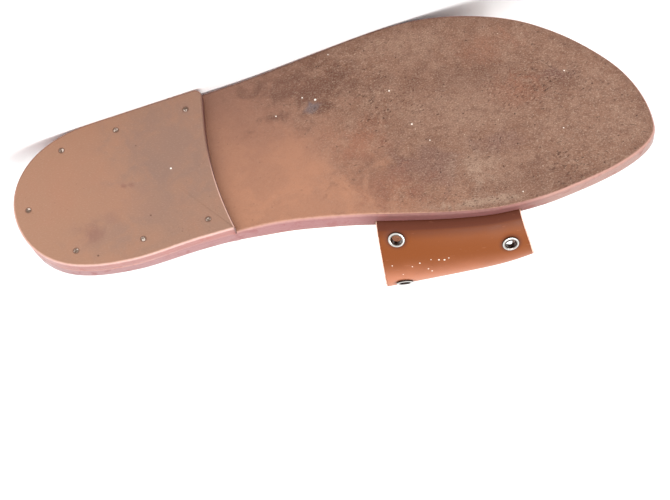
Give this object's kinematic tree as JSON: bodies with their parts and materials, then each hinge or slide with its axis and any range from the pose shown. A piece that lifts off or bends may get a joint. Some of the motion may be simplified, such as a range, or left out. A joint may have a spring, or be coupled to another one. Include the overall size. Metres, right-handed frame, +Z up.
{
  "type": "leather slide sandal",
  "caption": "Flat leather slide for the right foot: one wide strap with eyelets along both edges, a leather sole and a low heel lift.",
  "frame": {"origin": "centre of the bounding box on the floor that the shoe lies on, on its outer side", "axes": "+Z up from the floor, +X towards the heel, and the tread faces -Y, tipped 6 degrees down"},
  "size_m": [0.2442, 0.068, 0.1039],
  "materials": {
    "outsole_leather": "worn matte sole leather",
    "lift_leather": "smooth, lightly worn sole leather",
    "insole_leather": "smooth pale lining leather",
    "strap_leather": "smooth semi-gloss tan leather",
    "nickel": "polished nickel",
    "nail_steel": "dull worn steel"
  },
  "bodies": {
    "root": {"outsole": "outsole_leather", "insole": "insole_leather", "heel_lift": "lift_leather", "heel_nail_1": "nail_steel", "heel_nail_2": "nail_steel", "heel_nail_3": "nail_steel", "heel_nail_4": "nail_steel", "heel_nail_5": "nail_steel", "heel_nail_6": "nail_steel", "heel_nail_7": "nail_steel", "upper_band": "strap_leather", "eyelet_back_1": "nickel", "eyelet_back_2": "nickel", "eyelet_back_3": "nickel", "eyelet_back_4": "nickel", "eyelet_back_5": "nickel", "eyelet_back_6": "nickel", "eyelet_back_7": "nickel", "eyelet_front_8": "nickel", "eyelet_front_9": "nickel", "eyelet_front_10": "nickel", "eyelet_front_11": "nickel", "eyelet_front_12": "nickel", "eyelet_front_13": "nickel"}
  },
  "joints": []
}
